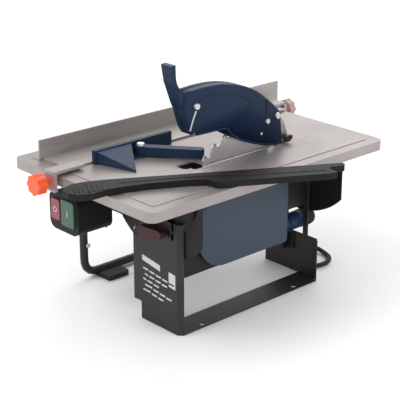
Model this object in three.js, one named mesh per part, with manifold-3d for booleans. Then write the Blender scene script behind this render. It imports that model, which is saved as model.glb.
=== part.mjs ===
// Benchtop table saw with a tilting table, direct drive and a 200 mm blade.
// Units are millimetres. +X is the operator's right, +Y is the feed direction, +Z is up.
// Places are worked out from the middle of the table on the ground, and the whole object
// is moved at the end so that its origin is the middle of its footprint.
import * as THREE from "three";
import { mergeVertices } from "three/addons/utils/BufferGeometryUtils.js";
import Module from "manifold-3d";

const wasm = await Module();
wasm.setup();

// Driving dimensions
const TOP = 240; // height of the table surface above the ground
const TABLE_WIDTH = 335;
const TABLE_DEPTH = 500;
const TABLE_SKIRT = 17;
const TABLE_SHEET = 2.6;
const TABLE_CORNER = 14;
const BORDER_WIDTH = 20; // lowered border pressed round the table
const BORDER_DROP = 1;
const BLADE_X = 66; // the blade's plane, and the axis that the table tilts about
const BLADE_Y = 13;
const BLADE_DROP = 55; // from the table surface down to the arbor
const BLADE_RADIUS = 100;
const BLADE_THICK = 2.4;
const TEETH = 24;
const ARBOR_Z = TOP - BLADE_DROP;
const ARBOR_RADIUS = 8;
const MOTOR_RADIUS = 44;
const QUADRANT_RADIUS = 126;
const QUADRANT_HALF = 92;
const FRONT_SLOT = 83; // radius of the clamping slot in the front quarter plate
const REAR_SLOT = 60; // and in the rear one
const STUD = 3.5; // radius of the clamp studs that run in it
const PANEL_Y = 156; // outer face of the front and rear leg panels
const PANEL_TOP = TOP - 59;
const SHEET = 2; // steel sheet of the stand
const CHASSIS_BOTTOM = TOP - 165;
const GAP = 0.3; // clearance between pieces that touch
const LEG_TUBE = 7; // radius of the left leg's tube
const CORD_RADIUS = 4;

const root = new THREE.Group();

const finish = (color, roughness, metalness) =>
  new THREE.MeshStandardMaterial({ color, roughness, metalness });
const tableGrey = finish(0xb0aaa8, 0.45, 0.6);
const frameBlack = finish(0x1c1c1c, 0.5, 0.3);
const plasticBlack = finish(0x161616, 0.6, 0);
const rubberBlack = finish(0x111111, 0.9, 0);
const guardBlue = finish(0x14283f, 0.35, 0);
const coverBlue = finish(0x1d2b3e, 0.45, 0.1);
const brightSteel = finish(0xd8d8d8, 0.25, 0.9);
const aluminium = finish(0xb8b2ae, 0.4, 0.7);
const knobOrange = finish(0xf05a1e, 0.45, 0);
const stopRed = finish(0xb01828, 0.4, 0);
const startGreen = finish(0x2c7a4c, 0.4, 0);
const copper = finish(0xa8622e, 0.4, 0.7);

// Solids

function solid(geometry) {
  const bare = geometry.index ? geometry.toNonIndexed() : geometry.clone();
  bare.deleteAttribute("normal");
  bare.deleteAttribute("uv");
  const merged = mergeVertices(bare, 1e-3);
  const vertProperties = merged.attributes.position.array;
  const triVerts = new Uint32Array(merged.index.array);
  return new wasm.Manifold(new wasm.Mesh({ numProp: 3, vertProperties, triVerts }));
}

function add(name, body, material) {
  const { vertProperties, triVerts, numProp } = body.getMesh();
  const positions = new Float32Array((vertProperties.length / numProp) * 3);
  for (let i = 0; i < positions.length / 3; i++) {
    for (let k = 0; k < 3; k++) positions[3 * i + k] = vertProperties[numProp * i + k];
  }
  const geometry = new THREE.BufferGeometry();
  geometry.setAttribute("position", new THREE.BufferAttribute(positions, 3));
  geometry.setIndex(new THREE.BufferAttribute(new Uint32Array(triVerts), 1));
  geometry.computeVertexNormals();
  const mesh = new THREE.Mesh(geometry, material);
  mesh.name = name;
  root.add(mesh);
  return mesh;
}

const join = (first, ...rest) => rest.reduce((sum, next) => sum.add(next), first);
const cut = (first, ...rest) => rest.reduce((left, next) => left.subtract(next), first);

function box(x0, x1, y0, y1, z0, z1) {
  const geometry = new THREE.BoxGeometry(x1 - x0, y1 - y0, z1 - z0);
  return solid(geometry.translate((x0 + x1) / 2, (y0 + y1) / 2, (z0 + z1) / 2));
}

// A cylinder along X, Y or Z between two places on that axis; centre gives the other two.
function rod(axis, radius, from, to, centre, segments = 24, endRadius = radius) {
  const geometry = new THREE.CylinderGeometry(endRadius, radius, to - from, segments);
  geometry.translate(0, (from + to) / 2, 0);
  if (axis === "x") geometry.rotateZ(-Math.PI / 2).translate(0, centre[0], centre[1]);
  if (axis === "y") geometry.translate(centre[0], 0, centre[1]);
  if (axis === "z") geometry.rotateX(Math.PI / 2).translate(centre[0], centre[1], 0);
  return solid(geometry);
}

const ring = (axis, outer, inner, from, to, centre, segments = 24) =>
  cut(rod(axis, outer, from, to, centre, segments), rod(axis, inner, from - 1, to + 1, centre, segments));

function extrusion(shape, depth, curveSegments) {
  return new THREE.ExtrudeGeometry(shape, { depth, bevelEnabled: false, curveSegments });
}

// Plan outline (x, y) raised from z0 to z1.
const plan = (shape, z0, z1, curveSegments = 6) =>
  solid(extrusion(shape, z1 - z0, curveSegments).translate(0, 0, z0));

// Side outline (y, z) carried from x0 to x1.
function side(shape, x0, x1, curveSegments = 6) {
  const turn = new THREE.Matrix4().makeBasis(
    new THREE.Vector3(0, 1, 0),
    new THREE.Vector3(0, 0, 1),
    new THREE.Vector3(1, 0, 0),
  );
  return solid(extrusion(shape, x1 - x0, curveSegments).applyMatrix4(turn).translate(x0, 0, 0));
}

// Front outline (x, z) carried from y0 to y1.
const front = (shape, y0, y1, curveSegments = 6) =>
  solid(extrusion(shape, y1 - y0, curveSegments).rotateX(Math.PI / 2).translate(0, y1, 0));

const outline = (points) => new THREE.Shape(points.map(([u, v]) => new THREE.Vector2(u, v)));

function roundedRectangle(u0, u1, v0, v1, radius) {
  const shape = new THREE.Shape();
  shape.moveTo(u0 + radius, v0);
  shape.lineTo(u1 - radius, v0);
  shape.absarc(u1 - radius, v0 + radius, radius, -Math.PI / 2, 0);
  shape.lineTo(u1, v1 - radius);
  shape.absarc(u1 - radius, v1 - radius, radius, 0, Math.PI / 2);
  shape.lineTo(u0 + radius, v1);
  shape.absarc(u0 + radius, v1 - radius, radius, Math.PI / 2, Math.PI);
  shape.lineTo(u0, v0 + radius);
  shape.absarc(u0 + radius, v0 + radius, radius, Math.PI, 1.5 * Math.PI);
  return shape;
}

// A slot along an arc, with round ends, as a closed outline. Angles are in degrees.
function arcSlot(u, v, radius, halfWidth, from, to) {
  const a = THREE.MathUtils.degToRad(from);
  const b = THREE.MathUtils.degToRad(to);
  const shape = new THREE.Shape();
  shape.absarc(u, v, radius + halfWidth, a, b);
  shape.absarc(u + radius * Math.cos(b), v + radius * Math.sin(b), halfWidth, b, b + Math.PI);
  shape.absarc(u, v, radius - halfWidth, b, a, true);
  shape.absarc(u + radius * Math.cos(a), v + radius * Math.sin(a), halfWidth, a - Math.PI, a);
  return shape;
}

// An anticlockwise loop of points moved inwards, for the inside of a thin shell.
function inset(points, distance) {
  return points.map((point, i) => {
    const before = points[(i + points.length - 1) % points.length];
    const after = points[(i + 1) % points.length];
    const into = new THREE.Vector2(point[0] - before[0], point[1] - before[1]).normalize();
    const out = new THREE.Vector2(after[0] - point[0], after[1] - point[1]).normalize();
    const normal = new THREE.Vector2(-into.y - out.y, into.x + out.x).normalize();
    const stretch = Math.max(0.6, normal.dot(new THREE.Vector2(-out.y, out.x)));
    return [point[0] + (normal.x * distance) / stretch, point[1] + (normal.y * distance) / stretch];
  });
}

// A round tube along a path.
function tube(path, radius, steps, sides = 12) {
  const section = new THREE.Shape();
  section.absarc(0, 0, radius, 0, 2 * Math.PI);
  const curveSegments = sides / 2;
  return solid(new THREE.ExtrudeGeometry(section, { steps, extrudePath: path, curveSegments }));
}

// A path of straight runs joined by bends.
function bentPath(points, bend) {
  const path = new THREE.CurvePath();
  const corners = points.map((p) => new THREE.Vector3(...p));
  let start = corners[0];
  for (let i = 1; i < corners.length - 1; i++) {
    const into = corners[i].clone().sub(corners[i - 1]).normalize().multiplyScalar(bend);
    const out = corners[i + 1].clone().sub(corners[i]).normalize().multiplyScalar(bend);
    const bendStart = corners[i].clone().sub(into);
    const bendEnd = corners[i].clone().add(out);
    path.add(new THREE.LineCurve3(start, bendStart));
    path.add(new THREE.QuadraticBezierCurve3(bendStart, corners[i], bendEnd));
    start = bendEnd;
  }
  path.add(new THREE.LineCurve3(start, corners[corners.length - 1]));
  return path;
}

// Table: everything here tilts about the blade's line on the table surface

const INSERT = { x0: 34, x1: 98, y0: -97, y1: 143 };
const SLOT_HALF = 5;
const SLOT_Y = [-82, 134];

function tableTop() {
  const w = TABLE_WIDTH / 2;
  const d = TABLE_DEPTH / 2;
  const wall = 1.5;
  const inner = BORDER_WIDTH;
  const outer = plan(roundedRectangle(-w, w, -d, d, TABLE_CORNER), TOP - TABLE_SKIRT, TOP);
  const hollow = roundedRectangle(-w + wall, w - wall, -d + wall, d - wall, TABLE_CORNER - wall);
  const field = roundedRectangle(-w + inner, w - inner, -d + inner, d - inner, 6);
  const border = cut(
    box(-w - 1, w + 1, -d - 1, d + 1, TOP - BORDER_DROP, TOP + 1),
    plan(field, TOP - 2, TOP + 2),
  );
  const opening = box(INSERT.x0, INSERT.x1, INSERT.y0, INSERT.y1, TOP - 10, TOP + 10);
  return cut(outer, plan(hollow, TOP - TABLE_SKIRT - 1, TOP - TABLE_SHEET), border, opening);
}

function tableInsert() {
  const c = 0.4;
  const plate = box(INSERT.x0 + c, INSERT.x1 - c, INSERT.y0 + c, INSERT.y1 - c, TOP - TABLE_SHEET, TOP);
  const slot = roundedRectangle(BLADE_X - SLOT_HALF, BLADE_X + SLOT_HALF, ...SLOT_Y, SLOT_HALF - 0.1);
  const finger = roundedRectangle(38, BLADE_X - SLOT_HALF + 1, -93, -54, 7);
  return cut(plate, plan(slot, TOP - 9, TOP + 9), plan(finger, TOP - 9, TOP + 9));
}

// Quarter plate under the table, with the arc slot that the clamp studs run in.
function quadrant(y0, y1, slotRadius, slotFrom, slotTo, flangeFrom, flangeTo) {
  const top = TOP - TABLE_SHEET - GAP;
  const edge = Math.asin((TOP - top) / QUADRANT_RADIUS);
  const disc = new THREE.Shape();
  disc.absarc(BLADE_X, TOP, QUADRANT_RADIUS, Math.PI + edge, 2 * Math.PI - edge);
  const limits = box(BLADE_X - QUADRANT_HALF, BLADE_X + QUADRANT_HALF, y0 - 1, y1 + 1, 0, TOP);
  const plate = front(disc, y0, y1, 40).intersect(limits);
  const slot = front(arcSlot(BLADE_X, TOP, slotRadius, STUD + 1, slotFrom, slotTo), y0 - 1, y1 + 1, 14);
  const reach = QUADRANT_HALF - 4;
  const flange = box(BLADE_X - reach, BLADE_X + reach, flangeFrom, flangeTo, top - SHEET, top);
  return join(cut(plate, slot), flange);
}

// Stand

// Section of a leg panel: a flat web whose right edge is rolled back through 45 degrees.
function panelSection(facing) {
  const outer = PANEL_Y * facing;
  const inner = (PANEL_Y - SHEET) * facing;
  const lip = (PANEL_Y - 7) * facing;
  const lipEnd = (PANEL_Y - 8.4) * facing;
  const left = facing < 0 ? 28 : -5;
  const points = [
    [left, outer], [113, outer], [120, lip], [120, lipEnd], [118, lipEnd], [112.2, inner], [left, inner],
  ];
  return outline(facing < 0 ? points : points.reverse());
}

const FRONT_KNOB = [52, TOP - 81.8];
const FRONT_GUIDE = [91.6, TOP - 79];
const REAR_KNOB = [86.5, TOP - 56.3];

function frontLegPanel() {
  const web = plan(panelSection(-1), 0, PANEL_TOP);
  const notch = box(99.5, 105.5, -PANEL_Y - 1, -PANEL_Y + 3, TOP - 86, PANEL_TOP + 1);
  const holes = [FRONT_KNOB, FRONT_GUIDE].map((at) =>
    rod("y", STUD + 0.5, -PANEL_Y - 1, -PANEL_Y + 3, at, 16),
  );
  return cut(web, notch, ...holes);
}

function rearLegPanel() {
  const web = plan(panelSection(1), 0, 73);
  const upright = box(81, 92, PANEL_Y - SHEET, PANEL_Y, 72, TOP - 47);
  return cut(join(web, upright), rod("y", STUD + 0.5, PANEL_Y - 3, PANEL_Y + 1, REAR_KNOB, 16));
}

function baseRail() {
  const end = PANEL_Y - SHEET - GAP;
  const lip = PANEL_Y - 8.4 - GAP;
  const strip = outline([
    [75, -end], [111, -end], [111, -lip], [120, -lip], [120, lip], [111, lip], [111, end], [75, end],
  ]);
  const holes = [-103, 103].map((y) => rod("z", 4.5, -1, SHEET + 1, [111, y], 20));
  return cut(plan(strip, 0, SHEET), ...holes);
}

function frontBrace() {
  const y = -PANEL_Y + SHEET + GAP;
  return box(8, 44, y, y + SHEET, 27, 137);
}

// Plate on the left of the blade that carries the motor.
function motorPlate() {
  const low = CHASSIS_BOTTOM;
  const high = TOP - 20;
  const end = PANEL_Y - SHEET - GAP;
  const inner = 143;
  const sheet = outline([
    [-end, low], [end - 12, low], [end - 12, 40], [end, 40], [end, TOP - 130], [inner, TOP - 130],
    [inner, high - 30], [inner - 30, high], [30 - inner, high], [-inner, high - 30], [-inner, TOP - 130],
    [-end, TOP - 130],
  ]);
  const hole = rod("x", 24, 40, 60, [BLADE_Y, ARBOR_Z], 32);
  const frontTab = box(48.9, 64, -end, -end + SHEET, low, TOP - 130);
  const rearTab = box(48.9, 64, end - SHEET, end, 40, 72);
  return join(cut(side(sheet, 46, 49), hole), frontTab, rearTab);
}

// Right-hand chassis plate, with the opening that the blade is changed through.
function sidePlate() {
  const end = PANEL_Y - SHEET - GAP;
  const sheet = outline([
    [-end, CHASSIS_BOTTOM], [107, CHASSIS_BOTTOM], [107, TOP - 112], [end, TOP - 112], [end, TOP - 62],
    [120, TOP - 34], [-120, TOP - 34], [-142, TOP - 50], [-142, TOP - 130], [-end, TOP - 130],
  ]);
  const opening = roundedRectangle(-84, 96, TOP - 154, TOP - 54, 30);
  return cut(side(sheet, 84, 86), side(opening, 80, 90, 8));
}

// Rounded band round the lower half of the blade, open at the top and at the dust outlet.
function bladeHousing() {
  const from = 49 + GAP;
  const to = 84 - GAP;
  const band = ring("x", 109.5, 107.5, from, to, [BLADE_Y, ARBOR_Z], 72);
  const lower = box(from - 1, to + 1, -200, 200, 0, TOP - 85);
  return cut(band.intersect(lower), rod("y", DUST.radius - 2, 30, 200, [DUST.x, DUST.z], 24));
}

const COVER = { y0: -93, y1: 104, z0: TOP - 163, z1: TOP - 46, radius: 57, x: 86.3, depth: 6 };

// Outline of the side cover: a large round corner at the front foot, small ones elsewhere.
function coverOutline(edge) {
  const { y0, y1, z0, z1, radius } = COVER;
  const small = 5 - edge;
  const shape = new THREE.Shape();
  shape.moveTo(y0 + radius, z0 + edge);
  shape.lineTo(y1 - edge - small, z0 + edge);
  shape.absarc(y1 - edge - small, z0 + edge + small, small, -Math.PI / 2, 0);
  shape.lineTo(y1 - edge, z1 - edge - small);
  shape.absarc(y1 - edge - small, z1 - edge - small, small, 0, Math.PI / 2);
  shape.lineTo(y0 + edge + small, z1 - edge);
  shape.absarc(y0 + edge + small, z1 - edge - small, small, Math.PI / 2, Math.PI);
  shape.lineTo(y0 + edge, z0 + radius);
  shape.absarc(y0 + radius, z0 + radius, radius - edge, Math.PI, 1.5 * Math.PI);
  return shape;
}

function sideCover() {
  const { x, depth } = COVER;
  return cut(side(coverOutline(0), x, x + depth, 12), side(coverOutline(2), x - 1, x + depth - 2, 12));
}

// Dust outlet
const DUST = { x: 65.6, z: TOP - 145, radius: 15 };

function dustPort() {
  const at = [DUST.x, DUST.z];
  const pipe = ring("y", DUST.radius, DUST.radius - 2, 60, 158, at, 28);
  const collar = ring("y", DUST.radius + 1.2, DUST.radius - 1, 126, 132, at, 28);
  return cut(join(pipe, collar), rod("x", 109.5 + GAP, 40, 90, [BLADE_Y, ARBOR_Z], 72));
}

function dustAdapter() {
  const at = [DUST.x, DUST.z];
  const sleeve = ring("y", DUST.radius - 0.6, DUST.radius - 3, 158 + GAP, 186, at, 28);
  const rib = (y) => ring("y", DUST.radius + 0.6, DUST.radius - 2, y, y + 3, at, 28);
  const ribs = [160, 166, 172, 178].map(rib);
  return join(sleeve, ...ribs);
}

// Drive

const onArbor = [BLADE_Y, ARBOR_Z];

function motorHousing() {
  const shell = ring("x", MOTOR_RADIUS, MOTOR_RADIUS - 3, -75, 45.7, onArbor, 40);
  const endWall = rod("x", MOTOR_RADIUS - 1, 41.7, 45.7, onArbor, 40);
  const seat = ring("x", 20, 16.3, 31, 41.8, onArbor, 28);
  const fins = [];
  for (let i = 0; i < 12; i++) {
    const fin = box(-66, 34, -1.5, 1.5, MOTOR_RADIUS - 2, MOTOR_RADIUS + 3);
    fins.push(fin.rotate([30 * i + 15, 0, 0]).translate([0, BLADE_Y, ARBOR_Z]));
  }
  const bore = rod("x", ARBOR_RADIUS + 1.5, 30, 50, onArbor, 24);
  return join(cut(join(shell, endWall), bore), seat, ...fins);
}

function fanCover() {
  const cup = cut(
    rod("x", MOTOR_RADIUS, -101, -75 - GAP, onArbor, 40),
    rod("x", MOTOR_RADIUS - 2.5, -98.5, -70, onArbor, 40),
  );
  const slots = [];
  for (let i = 0; i < 8; i++) {
    const slot = box(-110, -90, -2.5, 2.5, 14, 34);
    slots.push(slot.rotate([45 * i, 0, 0]).translate([0, BLADE_Y, ARBOR_Z]));
  }
  return cut(cup, ...slots);
}

function endShield() {
  const disc = cut(rod("x", MOTOR_RADIUS - 3 - GAP, -64, -60, onArbor, 40), rod("x", 9.5, -70, -50, onArbor));
  return join(disc, ring("x", 20, 16.3, -73, -63.9, onArbor, 28));
}

const bearing = (from, to) => ring("x", 16, ARBOR_RADIUS + GAP, from, to, onArbor, 28);

function fan() {
  const hub = ring("x", 14, ARBOR_RADIUS + GAP, -92, -78, onArbor);
  const vanes = [];
  for (let i = 0; i < 7; i++) {
    const vane = box(-91, -79, -1, 1, 13, 37);
    vanes.push(vane.rotate([(360 / 7) * i, 0, 0]).translate([0, BLADE_Y, ARBOR_Z]));
  }
  return join(hub, ...vanes);
}

const arborShaft = () =>
  join(rod("x", ARBOR_RADIUS, -94, 72.6, onArbor), rod("x", 6, 72, 83, onArbor));

function sawBlade() {
  const shape = new THREE.Shape();
  const step = (2 * Math.PI) / TEETH;
  const tooth = [[0, 0], [0.34, 3], [0.72, 10], [0.94, 9]]; // part of the pitch, depth below the tip
  for (let i = 0; i < TEETH; i++) {
    const a = i * step;
    for (const [t, depth] of tooth) {
      const r = BLADE_RADIUS - depth;
      const u = BLADE_Y + r * Math.cos(a + t * step);
      const v = ARBOR_Z + r * Math.sin(a + t * step);
      if (i === 0 && t === 0) shape.moveTo(u, v);
      else shape.lineTo(u, v);
    }
  }
  const x0 = BLADE_X - BLADE_THICK / 2;
  return cut(side(shape, x0, x0 + BLADE_THICK), rod("x", ARBOR_RADIUS + GAP, 50, 80, onArbor));
}

const flange = (from, to) => ring("x", 20, ARBOR_RADIUS + GAP, from, to, onArbor, 28);
const arborNut = () => cut(rod("x", 11, 72.6 + GAP, 81, onArbor, 6), rod("x", 6 + GAP, 70, 90, onArbor, 24));

function rivingKnife() {
  const inner = 104;
  const shape = new THREE.Shape();
  const from = THREE.MathUtils.degToRad(50);
  const to = Math.asin((TOP - 78 - ARBOR_Z) / inner);
  shape.absarc(BLADE_Y, ARBOR_Z, inner, from, to, true);
  shape.lineTo(138, TOP - 78);
  shape.lineTo(138, TOP - 46);
  shape.quadraticCurveTo(131, TOP + 8, 112, TOP + 42);
  shape.lineTo(100, TOP + 60);
  shape.lineTo(72, TOP + 60);
  const plate = side(shape, BLADE_X - 1, BLADE_X + 1, 14);
  return cut(plate, rod("x", 3.4, 50, 90, GUARD_PIVOT, 16));
}

const knifeBracket = () => box(49 + GAP, BLADE_X - 1 - GAP, 116, 138, TOP - 78, TOP - 48);
const knifeBolt = (z) => rod("x", 5, BLADE_X + 1 + GAP, BLADE_X + 5, [127, z], 6);

// Blade guard, which swings up about a bolt through the riving knife

const GUARD_HALF = 15;
const GUARD_PIVOT = [85, TOP + 54];
const GUARD_BOLT = [62, TOP + 50];
const GUARD_FRONT_BOLT = [-88, TOP + 103];

// Dome outline (y, z above the table) from the rear foot forwards, over the top and back.
const guardDome = [
  [98, 56], [84, 70], [66, 85], [44, 101], [20, 113], [-8, 122], [-34, 127], [-60, 128.5], [-84, 128],
  [-103, 125], [-110, 113], [-111, 101], [-106, 84], [-100, 68], [-94, 59],
];
const rightFoot = [[-86, 57], [-45, 56], [-22, 53], [-17, 43], [6, 29], [34, 18], [62, 9], [98, 5]];
const leftFoot = [[-86, 57], [-45, 56], [-22, 53], [-17, 43], [6, 30], [34, 22], [62, 20.5], [98, 20.5]];

function guardShell(foot, x0, x1, wallX0, wallX1) {
  const loop = [...guardDome, ...foot].map(([y, z]) => [y, TOP + z]);
  const inner = inset(loop, 2.2);
  // The hollow runs out through the rear end and the underside.
  const hollow = inner.map(([y, z], i) => {
    if (i === 0) return [y + 12, z];
    if (i < guardDome.length) return [y, z];
    return i === inner.length - 1 ? [y + 12, z - 14] : [y, z - 14];
  });
  const hole = (at, r) => rod("x", r, 40, 95, at, 16);
  const body = cut(side(outline(loop), x0, x1), side(outline(hollow), wallX0, wallX1));
  const knifeSlot = box(BLADE_X - 1.8, BLADE_X + 1.8, 78, 110, TOP + 50, TOP + 80);
  return cut(body, knifeSlot, hole(GUARD_PIVOT, 3.4), hole(GUARD_BOLT, 2.9), hole(GUARD_FRONT_BOLT, 2.9));
}

const middle = GAP / 2;
const guardRight = () =>
  guardShell(rightFoot, BLADE_X + middle, BLADE_X + GUARD_HALF, BLADE_X - 1, BLADE_X + GUARD_HALF - 2);
const guardLeft = () =>
  guardShell(leftFoot, BLADE_X - GUARD_HALF, BLADE_X - middle, BLADE_X - GUARD_HALF + 2, BLADE_X + 1);

// Lifting horn on the front of the guard.
function guardHorn() {
  const horn = new THREE.Shape();
  horn.moveTo(-102.5, TOP + 126.2);
  horn.quadraticCurveTo(-121, TOP + 130, -124, TOP + 152);
  horn.lineTo(-124.5, TOP + 171);
  horn.lineTo(-133, TOP + 170);
  horn.lineTo(-128, TOP + 143);
  horn.lineTo(-115, TOP + 108);
  horn.lineTo(-111.4, TOP + 101);
  horn.lineTo(-110.4, TOP + 113.2);
  horn.lineTo(-103.3, TOP + 125.5);
  return side(horn, BLADE_X - 12, BLADE_X + 12, 8);
}

// Bolt across the whole guard, its head on the right.
function guardBolt(at, shank, head) {
  const x0 = BLADE_X - GUARD_HALF;
  const x1 = BLADE_X + GUARD_HALF;
  const pin = rod("x", shank, x0 - 3.5, x1 + 4, at, 16);
  const cap = rod("x", head, x1 + GAP, x1 + 4.3, at, 20, head * 0.8);
  const nut = rod("x", head, x0 - 4, x0 - GAP, at, 6);
  return join(pin, cap, nut);
}

// Fence

const FENCE_X = -123; // working face of the fence
const FENCE_HEIGHT = 32;
const FENCE_KNOB_Z = TOP - 8;

function fenceRail() {
  const z = TOP + GAP;
  const high = z + FENCE_HEIGHT;
  const wall = outline([[-230, z], [256, z], [256, TOP - 22], [299, TOP - 22], [299, high], [-230, high]]);
  const base = box(FENCE_X - 0.1, -57, -225, 250, z, z + 3);
  return join(side(wall, FENCE_X - 3, FENCE_X), base);
}

function fenceFrontClamp() {
  const z = TOP + 3 + 2 * GAP;
  const arm = box(-66, -42, -262, -205, z, z + 5);
  const leg = box(-66, -42, -262, -256, TOP - 24, z + 1);
  return cut(join(arm, leg), rod("y", 4.3, -264, -254, [-54, FENCE_KNOB_Z], 16));
}

function fenceRearClamp() {
  const z = TOP + 3 + 2 * GAP;
  const leg = box(FENCE_X + GAP, -70, 262, 267, TOP - 24, z + 1);
  const arm = box(-104, -74, 215, 267, z, z + 5);
  return cut(join(leg, arm), rod("y", 4.3, 260, 270, [-86, FENCE_KNOB_Z], 16));
}

// Fluted knob on a screw along Y. The screw runs from y0 to y1, the grip from y1 outwards.
function flutedKnob(x, z, screwEnd, gripFrom, gripTo, radius, screw, lobes = 8) {
  const points = [];
  const steps = 6 * lobes;
  for (let i = 0; i < steps; i++) {
    const a = (2 * Math.PI * i) / steps;
    const r = radius + 1.2 * Math.cos(lobes * a);
    points.push([x + r * Math.cos(a), z + r * Math.sin(a)]);
  }
  const grip = front(outline(points), Math.min(gripFrom, gripTo), Math.max(gripFrom, gripTo));
  const pin = rod("y", screw, Math.min(screwEnd, gripFrom), Math.max(screwEnd, gripFrom), [x, z], 16);
  const collar = rod("y", radius * 0.55, gripFrom - 3, gripFrom + 3, [x, z], 20);
  return join(grip, pin, collar);
}

// Lever that clamps the tilt at the front: a hub on the stud and an arm tapering to a round tip.
function clampLever() {
  const [x, z] = FRONT_KNOB;
  const reach = 38;
  const rise = 5;
  const lean = Math.atan2(rise, reach);
  const arm = new THREE.Shape();
  arm.absarc(x, z, 10, lean + Math.PI / 2, lean - Math.PI / 2 + 2 * Math.PI);
  arm.absarc(x + reach, z + rise, 6.5, lean - Math.PI / 2, lean + Math.PI / 2);
  const screw = rod("y", STUD, -163, -143.3, [x, z], 16);
  return join(front(arm, -174, -164, 12), rod("y", 8, -164.5, -160, [x, z], 24), screw);
}

// Bolt through the front panel that steadies the quarter plate.
function frontGuideBolt() {
  const pin = rod("y", STUD, -160, -140, FRONT_GUIDE, 16);
  const head = rod("y", 6, -160.5, -PANEL_Y - GAP, FRONT_GUIDE, 6);
  const nut = rod("y", 5.2, -144.2, -139, FRONT_GUIDE, 6);
  return join(pin, head, nut);
}

// Mitre gauge, laid against the fence

const GAUGE_PIVOT = [-36, -99];
const GAUGE_SEAT = TOP + 2.4; // top of the foot that the bar swings on
const GAUGE_BAR = 14; // height of the swinging bar

function gaugeHead() {
  const low = TOP + 0.4;
  const wall = box(-56, -48, -180, -24, low, TOP + 22);
  const wedge = plan(outline([[-48.2, -176], [22, -156], [-48.2, -108]]), low, TOP + 20);
  // The wedge falls from the wall to its far corner.
  const reach = 74;
  const fall = Math.atan2(18, reach);
  const above = new THREE.BoxGeometry(140, 140, 40).translate(50, 0, 20);
  const slope = solid(above.rotateY(fall).translate(-48, -140, TOP + 20));
  const foot = outline([[-48.2, -112], [-30, -124], [-22, -100], [-34, -86], [-48.2, -86]]);
  return join(wall, cut(wedge, slope), plan(foot, low, GAUGE_SEAT));
}

function gaugeBar() {
  const [x, y] = GAUGE_PIVOT;
  const bar = roundedRectangle(-8, 101, -8, 8, 7.9);
  const turn = THREE.MathUtils.degToRad(38);
  const raised = extrusion(bar, GAUGE_BAR, 6).rotateZ(turn).translate(x, y, GAUGE_SEAT + GAP);
  return cut(solid(raised), rod("z", 3.3, TOP, TOP + 30, GAUGE_PIVOT, 16));
}

function gaugeScrew() {
  const headFrom = GAUGE_SEAT + GAP + GAUGE_BAR + GAP;
  const pin = rod("z", 3, GAUGE_SEAT + GAP, headFrom + 1, GAUGE_PIVOT, 16);
  return join(pin, rod("z", 7, headFrom, headFrom + 4, GAUGE_PIVOT, 20, 6));
}

// Push stick, lying across the front right corner of the table

function pushStick() {
  const start = [36, -229];
  const angle = THREE.MathUtils.degToRad(59.7);
  const along = [Math.cos(angle), Math.sin(angle)];
  const across = [Math.sin(angle), -Math.cos(angle)];
  const profile = [
    [0, 0], [-30, 3], [-50, 10], [-61, 22], [-64, 36], [-58, 48], [-42, 58], [-22, 55], [0, 42], [25, 36],
    [60, 30], [120, 27], [146, 30], [160, 44], [330, 44], [344, 40], [338, 24], [340, 16], [364, 12],
    [367, 5], [360, 0],
  ];
  const points = profile.map(([u, v]) => [
    start[0] + u * along[0] + v * across[0],
    start[1] + u * along[1] + v * across[1],
  ]);
  return plan(outline(points), TOP + GAP, TOP + GAP + 10);
}

// Switch box

const SWITCH = { x0: -124, x1: -50, y0: -215, y1: -148, z0: TOP - 113, z1: TOP - 50 };
const RED = { x0: -115, x1: -93, z0: TOP - 95, z1: TOP - 61 };
const GREEN = { x0: -89, x1: -57, z0: TOP - 100, z1: TOP - 57 };
const BUTTON_DEPTH = 9;

const buttonOutline = (b, grow) => roundedRectangle(b.x0 - grow, b.x1 + grow, b.z0 - grow, b.z1 + grow, 4);

function switchBox() {
  const { x0, x1, y0, y1, z0, z1 } = SWITCH;
  const body = front(roundedRectangle(x0, x1, z0, z1, 14), y0, y1, 8);
  const pockets = [RED, GREEN].map((b) => front(buttonOutline(b, 0.4), y0 - 1, y0 + BUTTON_DEPTH));
  return cut(body, ...pockets);
}

const button = (b) => front(buttonOutline(b, 0), SWITCH.y0 - 4, SWITCH.y0 + 5);

function switchBracket() {
  const y = SWITCH.y1 + GAP;
  const plate = box(-150, -66, y, y + SHEET, TOP - 118, TOP - 56);
  const foot = box(-158, -142, y, -139 - GAP, TOP - 118, TOP - 74);
  return join(plate, foot);
}

// Left leg

const LEG_X = -150;
const LEG_Y = 132;
const LEG_RUN_Z = 9;
const LEG_CROSS_Z = TOP - 85;

function leftLeg() {
  const inner = 46 - GAP;
  const corners = [
    [inner, -LEG_Y, LEG_CROSS_Z], [LEG_X, -LEG_Y, LEG_CROSS_Z], [LEG_X, -LEG_Y, LEG_RUN_Z],
    [LEG_X, LEG_Y, LEG_RUN_Z], [LEG_X, LEG_Y, LEG_CROSS_Z], [inner, LEG_Y, LEG_CROSS_Z],
  ];
  return tube(bentPath(corners, 28), LEG_TUBE, 96, 12);
}

function footPad(y) {
  const pad = plan(roundedRectangle(-160, -114, y - 22, y + 22, 4), 0, 8, 3);
  return cut(pad, rod("y", LEG_TUBE + GAP, y - 30, y + 30, [LEG_X, LEG_RUN_Z], 24));
}

// Mains lead: out of the rear panel, round a loop on the ground and away to the stored coil.

const GLAND = [10, 22];
const GLAND_END = 191;
const COIL_CENTRE = [-150, 204];
const COIL_OUTER = 54; // radius of the coil's first turn, where the lead joins at the back
const COIL_INNER = 32; // radius of its tightest turn
const COIL_LAST = 52; // radius at which the last turn leaves for the plug

function cordGland() {
  const [x, z] = GLAND;
  const body = rod("y", 9, PANEL_Y + GAP, 166, GLAND, 20);
  const taper = rod("y", 7.5, 165, GLAND_END, GLAND, 20, 5);
  const nut = rod("y", 11, PANEL_Y + GAP, 160, [x, z], 6);
  return join(body, taper, nut);
}

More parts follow.
